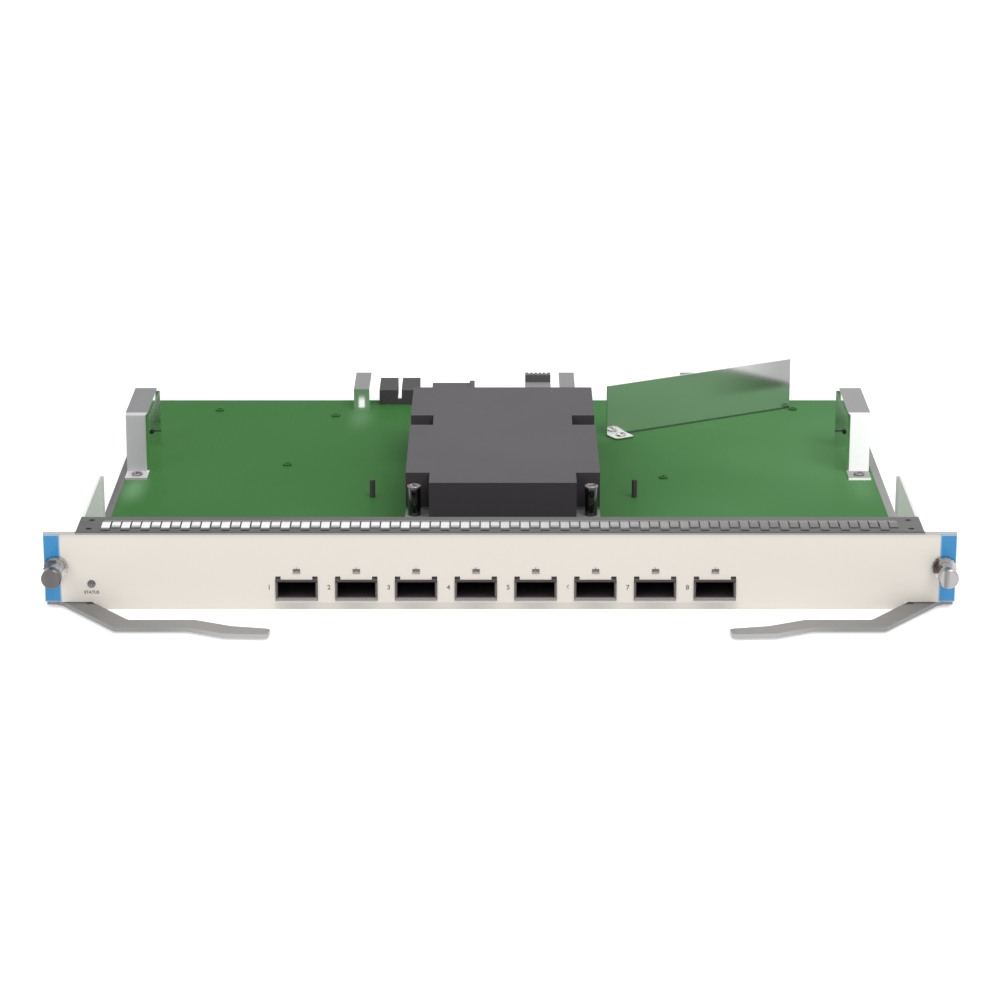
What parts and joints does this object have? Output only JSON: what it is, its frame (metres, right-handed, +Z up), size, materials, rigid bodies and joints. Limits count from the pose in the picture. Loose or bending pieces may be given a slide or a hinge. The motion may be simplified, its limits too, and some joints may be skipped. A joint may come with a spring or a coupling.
{
  "type": "switch line card",
  "caption": "Network switch line card with a port row, blue end trims, spring-finger flange, finned heat sink, ejector levers and captive thumbscrews on a green board.",
  "frame": {"origin": "middle of the front panel's bottom front edge", "axes": "+X along the panel to the right as seen from the front, +Y from the panel into the chassis, +Z up"},
  "size_m": [0.399, 0.3964, 0.036],
  "materials": {
    "panel_paint": "satin",
    "blue_trim": "gloss",
    "sheet_steel": "satin",
    "spring_steel": "satin",
    "board_green": "gloss",
    "plated_steel": "satin",
    "black_steel": "satin",
    "black_plastic": "matte",
    "cage_steel": "satin",
    "connector_plastic": "matte",
    "pale_plastic": "matte",
    "clear_plastic": "gloss",
    "light_chip": "gloss",
    "heat_sink_metal": "matte",
    "guide_metal": "satin",
    "lever_steel": "satin"
  },
  "bodies": {
    "card": {"air_baffle": "sheet_steel", "baffle_screw": "plated_steel", "base_tray": "sheet_steel", "board_lights": "light_chip", "board_posts": "black_plastic", "board_screws": "plated_steel", "bridge_screws": "plated_steel", "bridge_side_screws": "black_steel", "circuit_board": "board_green", "emi_finger_strip": "spring_steel", "front_panel": "panel_paint", "heat_sink": "heat_sink_metal", "heat_sink_base": "heat_sink_metal", "heat_sink_screws": "plated_steel", "heat_sink_springs": "spring_steel", "left_bridge_bracket": "sheet_steel", "left_end_trim": "blue_trim", "left_guide_socket": "guide_metal", "left_lever_bracket": "sheet_steel", "left_lever_pivot": "plated_steel", "left_screw_sleeve": "plated_steel", "left_screw_spring": "spring_steel", "left_side_plate": "sheet_steel", "mezzanine_connector": "connector_plastic", "mezzanine_foot": "pale_plastic", "middle_guide_socket": "guide_metal", "port_cage_1": "cage_steel", "port_cage_2": "cage_steel", "port_cage_3": "cage_steel", "port_cage_4": "cage_steel", "port_cage_5": "cage_steel", "port_cage_6": "cage_steel", "port_cage_7": "cage_steel", "port_cage_8": "cage_steel", "port_connectors": "connector_plastic", "port_light_pipes": "clear_plastic", "power_connectors": "connector_plastic", "right_bridge_bracket": "sheet_steel", "right_end_trim": "blue_trim", "right_guide_socket": "guide_metal", "right_lever_bracket": "sheet_steel", "right_lever_pivot": "plated_steel", "right_screw_sleeve": "plated_steel", "right_screw_spring": "spring_steel", "right_side_plate": "sheet_steel", "signal_connector": "connector_plastic", "status_light_pipe": "clear_plastic", "switch_chip": "black_plastic", "top_flange": "sheet_steel"},
    "left_lever": {"left_ejector_lever": "lever_steel"},
    "left_clip": {"left_captive_ring": "plated_steel"},
    "left_knob": {"left_thumbscrew": "plated_steel"},
    "right_lever": {"right_ejector_lever": "lever_steel"},
    "right_clip": {"right_captive_ring": "plated_steel"},
    "right_knob": {"right_thumbscrew": "plated_steel"}
  },
  "joints": [
    {"name": "left_lever_hinge", "type": "hinge", "parent": "card", "child": "left_lever", "pos_m": [-0.19, 0.007, 0.0019], "axis": [0, 0, -1], "range_deg": [0, 60]},
    {"name": "left_screw_slide", "type": "slide", "parent": "card", "child": "left_clip", "axis": [0, 1, 0], "range_m": [0, 0.01], "stiffness_N_per_m": 150, "springref_m": -0.006, "deforming": ["left_screw_spring"]},
    {"name": "left_screw_spin", "type": "hinge", "parent": "left_clip", "child": "left_knob", "pos_m": [-0.1942, 0, 0.0195], "axis": [0, 1, 0], "continuous": true},
    {"name": "right_lever_hinge", "type": "hinge", "parent": "card", "child": "right_lever", "pos_m": [0.19, 0.007, 0.0019], "axis": [0, 0, 1], "range_deg": [0, 60]},
    {"name": "right_screw_slide", "type": "slide", "parent": "card", "child": "right_clip", "axis": [0, 1, 0], "range_m": [0, 0.01], "stiffness_N_per_m": 150, "springref_m": -0.006, "deforming": ["right_screw_spring"]},
    {"name": "right_screw_spin", "type": "hinge", "parent": "right_clip", "child": "right_knob", "pos_m": [0.1942, 0, 0.0195], "axis": [0, 1, 0], "continuous": true}
  ]
}
